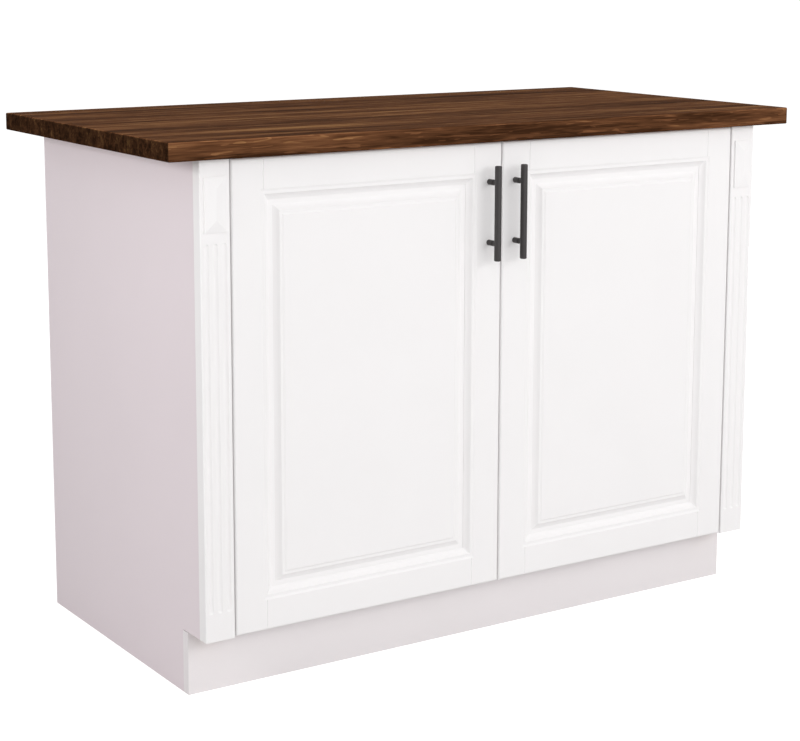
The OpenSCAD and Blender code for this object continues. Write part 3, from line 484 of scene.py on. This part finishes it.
class CABINET_OT_fittings(bpy.types.Operator):
    """Finish the hinges, screws, brackets and shelf pins"""

    bl_idname = "cabinet.fittings"
    bl_label = "Hinges and fixings"

    def execute(self, context):
        finish = context.scene.cabinet_finishes
        # Nickel is warm and bright; zinc is cooler and duller.
        nickel = plated_steel("nickel plate on pressed steel", finish.nickel, smoothest=0.18, roughest=0.32)
        zinc = plated_steel("zinc plate on steel", finish.zinc, smoothest=0.32, roughest=0.46)
        dress_both_sides(nickel, "hinge_plates", "hinge_arms", "hinge_cups", "hinge_pins", "cup_screws")
        dress(nickel, "hinge_screws", "shelf_pins")
        dress_both_sides(zinc, "handle_screws")
        dress(zinc, "worktop_screws", "back_panel_screws", "toe_kick_brackets", "toe_kick_screws",
              "carcass_screws", "end_panel_screws")
        return {"FINISHED"}


class CABINET_OT_bumpers(bpy.types.Operator):
    """Make the soft bumpers on the backs of the doors"""

    bl_idname = "cabinet.bumpers"
    bl_label = "Door bumpers"

    def execute(self, context):
        clear = clear_polyurethane(context.scene.cabinet_finishes)
        for side in SIDES:
            bumpers = domed_bumpers(f"{side}_domed_bumpers", f"{side}_door_bumpers")
            bumpers.data.materials.append(clear)
            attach(bumpers, f"{side}_door")
            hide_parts(f"{side}_door_bumpers")
        return {"FINISHED"}


def domed_bumpers(name, node):
    """Two soft domes on the back of a door, in the space of the frame's plain discs."""
    low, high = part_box(node)
    radius = (high.x - low.x) / 2
    thickness = high.y - low.y
    foot_radius = radius * 0.96
    rim_height = thickness * 0.12
    segments = 32
    # Half section from the foot on the door, over the rim, to the small flat on top of the dome.
    section = [(foot_radius, 0.0)]
    for rise in (0, 15, 30, 45, 60, 75):
        a = math.radians(rise)
        section.append((radius * math.cos(a), rim_height + (thickness - rim_height) * math.sin(a)))
    turns = [2 * math.pi * i / segments for i in range(segments)]

    shape = bmesh.new()
    for z in (low.z + radius, high.z - radius):
        centre = Vector((low.x + radius, low.y, z))
        rings = [
            [shape.verts.new(centre + Vector((r * math.cos(a), y, r * math.sin(a)))) for a in turns]
            for r, y in section
        ]
        for lower, upper in zip(rings, rings[1:]):
            for i in range(segments):
                shape.faces.new((lower[i], upper[i], upper[i - 1], lower[i - 1]))
        shape.faces.new(rings[0])
        shape.faces.new(reversed(rings[-1]))
    bmesh.ops.recalc_face_normals(shape, faces=shape.faces)
    mesh = bpy.data.meshes.new(name)
    shape.to_mesh(mesh)
    shape.free()
    for polygon in mesh.polygons:
        polygon.use_smooth = len(polygon.vertices) == 4
    bumpers = bpy.data.objects.new(name, mesh)
    bpy.context.scene.collection.objects.link(bumpers)
    return bumpers


# Studio

# The camera's place and angles were fitted to the corners of the cabinet's body in the photograph.
CAMERA_PLACE = (-1.777, -2.7093, 1.111)
CAMERA_TURN = math.radians(33.08)
CAMERA_TILT = math.radians(-9.39)
CAMERA_ROLL = math.radians(0.11)
CAMERA_SHIFT = -0.1256
SENSOR_WIDTH_MM = 36

# The floor reaches this many metres each way, and glows this much for the camera.
FLOOR_HALF = 60.0
FLOOR_LIFT = 0.72


class CABINET_OT_stage(bpy.types.Operator):
    """Set up the floor, the light and the camera"""

    bl_idname = "cabinet.stage"
    bl_label = "Floor, light and camera"

    def execute(self, context):
        scene = context.scene
        pale_floor(scene, scene.cabinet_studio)
        studio_light(scene, scene.cabinet_studio)
        photo_camera(scene, scene.cabinet_studio)
        scene.view_settings.view_transform = "Standard"
        return {"FINISHED"}


def pale_floor(scene, studio):
    """A wide pale floor that keeps the cabinet's soft shadow, and is lifted to white for the camera alone."""
    half = FLOOR_HALF
    corners = [(-half, -half, 0), (half, -half, 0), (half, half, 0), (-half, half, 0)]
    mesh = bpy.data.meshes.new("floor")
    mesh.from_pydata(corners, [], [(0, 1, 2, 3)])
    floor = bpy.data.objects.new("floor", mesh)
    scene.collection.objects.link(floor)
    material, tree, point = new_material("pale studio floor")
    mottle = add_node(tree, "ShaderNodeTexNoise", {"Vector": point, "Scale": per_metre(400)})
    paint = add_node(
        tree, "ShaderNodeBsdfDiffuse", {"Color": uneven(tree, studio.floor_colour, mottle, 0.004)}
    )
    seen = add_node(tree, "ShaderNodeLightPath").outputs["Is Camera Ray"]
    strength = add_node(tree, "ShaderNodeMapRange", {"Value": seen, "To Min": 0.0, "To Max": FLOOR_LIFT})
    lift = add_node(tree, "ShaderNodeEmission", {"Color": WHITE, "Strength": strength})
    both = add_node(tree, "ShaderNodeAddShader", {0: paint, 1: lift})
    add_node(tree, "ShaderNodeOutputMaterial", {"Surface": both})
    mesh.materials.append(material)


def studio_light(scene, studio):
    """Even light from all round, two soft lights in front, one at the left end and a low one behind."""
    world = bpy.data.worlds.new("studio")
    scene.world = world
    world.use_nodes = True
    tree = world.node_tree
    tree.nodes.clear()
    # What looks at the sky straight, in gloss or through something clear sees white.
    path = add_node(tree, "ShaderNodeLightPath").outputs
    looks = path["Is Camera Ray"]
    for ray in ("Is Glossy Ray", "Is Transmission Ray"):
        looks = add_node(tree, "ShaderNodeMath", {0: looks, 1: path[ray]}, operation="MAXIMUM")
    strength = add_node(tree, "ShaderNodeMapRange", {"Value": looks, "To Min": studio.sky, "To Max": 1.0})
    sky = add_node(tree, "ShaderNodeBackground", {"Color": WHITE, "Strength": strength})
    add_node(tree, "ShaderNodeOutputWorld", {"Surface": sky})

    soft_box(scene, "key", studio.key, size=(1.8, 1.2), place=(2.3, -3.3, 2.1), target=(0, -0.25, 0.5))
    soft_box(scene, "front", studio.front, size=(4.5, 1.6), place=(0, -4.5, 1.7), target=(0, 0, 0.4))
    soft_box(scene, "side", studio.side, size=(0.4, 0.4), place=(-1.9, -0.3, 1.15), target=(-0.53, 0, 0.45))
    # The last one stays below the worktop, so that it puts no gloss on it.
    soft_box(scene, "rear", studio.rear, size=(2.4, 0.7), place=(3.0, 3.0, 0.42), target=(0.3, 0.2, 0.42))


def soft_box(scene, name, power, size, place, target):
    """A soft light of this width and height at a place, turned to a target, which no camera sees."""
    light = bpy.data.lights.new(name, "AREA")
    light.shape = "RECTANGLE"
    light.size, light.size_y = size
    light.energy = power
    lamp = bpy.data.objects.new(name, light)
    scene.collection.objects.link(lamp)
    lamp.location = place
    lamp.rotation_mode = "QUATERNION"
    lamp.rotation_quaternion = (Vector(target) - Vector(place)).to_track_quat("-Z", "Y")
    lamp.visible_camera = False


def photo_camera(scene, studio):
    """A camera at the photograph's place and angle."""
    data = bpy.data.cameras.new("camera")
    data.lens = studio.lens
    data.sensor_width = SENSOR_WIDTH_MM
    data.shift_y = CAMERA_SHIFT
    data.clip_start = 0.1
    data.clip_end = 200
    camera = bpy.data.objects.new("camera", data)
    scene.collection.objects.link(camera)
    camera.matrix_world = (
        Matrix.Translation(CAMERA_PLACE)
        @ Matrix.Rotation(-CAMERA_TURN, 4, "Z")
        @ Matrix.Rotation(math.pi / 2 + CAMERA_TILT, 4, "X")
        @ Matrix.Rotation(CAMERA_ROLL, 4, "Z")
    )
    scene.camera = camera


# Panel and registration

STEPS = (
    CABINET_OT_worktop,
    CABINET_OT_doors,
    CABINET_OT_pilasters,
    CABINET_OT_carcass,
    CABINET_OT_handles,
    CABINET_OT_fittings,
    CABINET_OT_bumpers,
    CABINET_OT_stage,
)


class CABINET_PT_panel(bpy.types.Panel):
    """The cabinet's pieces and settings"""

    bl_label = "Kitchen Cabinet"
    bl_idname = "CABINET_PT_panel"
    bl_space_type = "VIEW_3D"
    bl_region_type = "UI"
    bl_category = "Cabinet"

    def draw(self, context):
        layout = self.layout
        for step in STEPS:
            layout.operator(step.bl_idname)
        for settings in (context.scene.cabinet_finishes, context.scene.cabinet_studio):
            box = layout.box()
            for name in settings.__annotations__:
                box.prop(settings, name)


CLASSES = (CabinetFinishes, CabinetStudio, *STEPS, CABINET_PT_panel)


def register():
    for cls in CLASSES:
        bpy.utils.register_class(cls)
    bpy.types.Scene.cabinet_finishes = bpy.props.PointerProperty(type=CabinetFinishes)
    bpy.types.Scene.cabinet_studio = bpy.props.PointerProperty(type=CabinetStudio)


def unregister():
    del bpy.types.Scene.cabinet_studio
    del bpy.types.Scene.cabinet_finishes
    for cls in reversed(CLASSES):
        bpy.utils.unregister_class(cls)


def main():
    """Registers the classes, and makes every piece and the stage."""
    register()
    bpy.ops.cabinet.worktop()
    bpy.ops.cabinet.doors()
    bpy.ops.cabinet.pilasters()
    bpy.ops.cabinet.carcass()
    bpy.ops.cabinet.handles()
    bpy.ops.cabinet.fittings()
    bpy.ops.cabinet.bumpers()
    bpy.ops.cabinet.stage()


if __name__ == "__main__":
    main()
